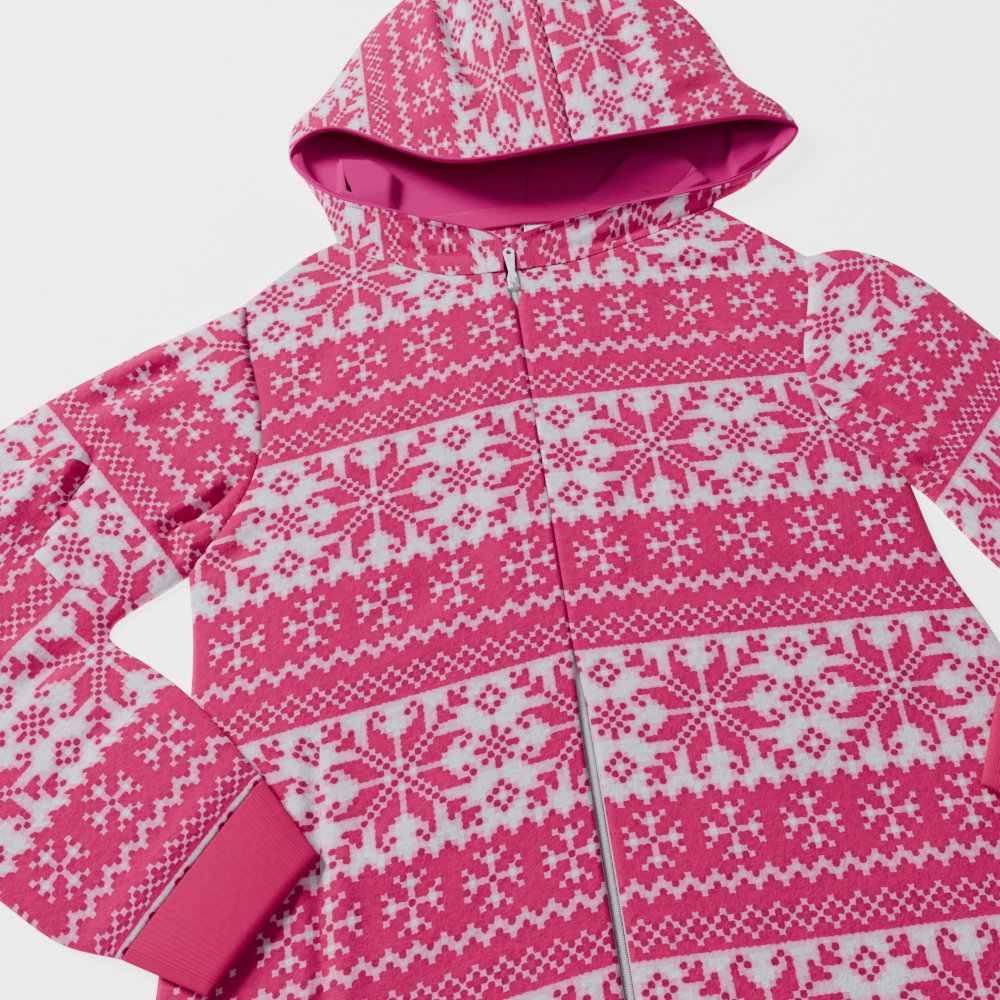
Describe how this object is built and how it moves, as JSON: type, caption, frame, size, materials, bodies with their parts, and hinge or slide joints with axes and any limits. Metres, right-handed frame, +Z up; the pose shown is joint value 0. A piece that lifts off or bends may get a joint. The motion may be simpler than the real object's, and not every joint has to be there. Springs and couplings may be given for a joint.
{
  "type": "onesie pajama",
  "caption": "Hooded zip-front onesie pajama of printed fleece, laid flat on its back, with rib cuffs, a pink hood lining and a hinged zip pull.",
  "frame": {"origin": "middle of the bottom of the whole garment, on the surface that it lies on", "axes": "+Y towards the hood, along the length; +X towards the viewer's right; +Z up off the surface"},
  "size_m": [1.0602, 1.9314, 0.0471],
  "materials": {
    "print_fleece": "soft brushed fleece, magenta and grey-white knit-pattern print",
    "pink_lining": "smooth bright pink jersey",
    "pink_tape": "bright pink neck tape",
    "pink_rib": "fine rib knit, bright pink",
    "zip_tape": "woven white tape",
    "zip_coil": "white nylon coil",
    "white_enamel": "white enamelled zinc"
  },
  "bodies": {
    "garment": {"back_left": "print_fleece", "back_right": "print_fleece", "front_left": "print_fleece", "front_right": "print_fleece", "sleeve_left": "print_fleece", "sleeve_right": "print_fleece", "hood_left": "print_fleece", "hood_right": "print_fleece", "hood_lining_left": "pink_lining", "hood_lining_right": "pink_lining", "neck_tape": "pink_tape", "cuff_left": "pink_rib", "cuff_right": "pink_rib", "ankle_cuff_left": "pink_rib", "ankle_cuff_right": "pink_rib", "zip_tape_left": "zip_tape", "zip_tape_right": "zip_tape", "zip_coil": "zip_coil", "zip_slider": "white_enamel"},
    "pull_tab": {"zip_pull": "white_enamel"}
  },
  "joints": [
    {"name": "pull_tab_hinge", "type": "hinge", "parent": "garment", "child": "pull_tab", "pos_m": [-0.012, 0.52766, 0.0153], "axis": [1, 0, 0], "range_deg": [0, 165]}
  ]
}
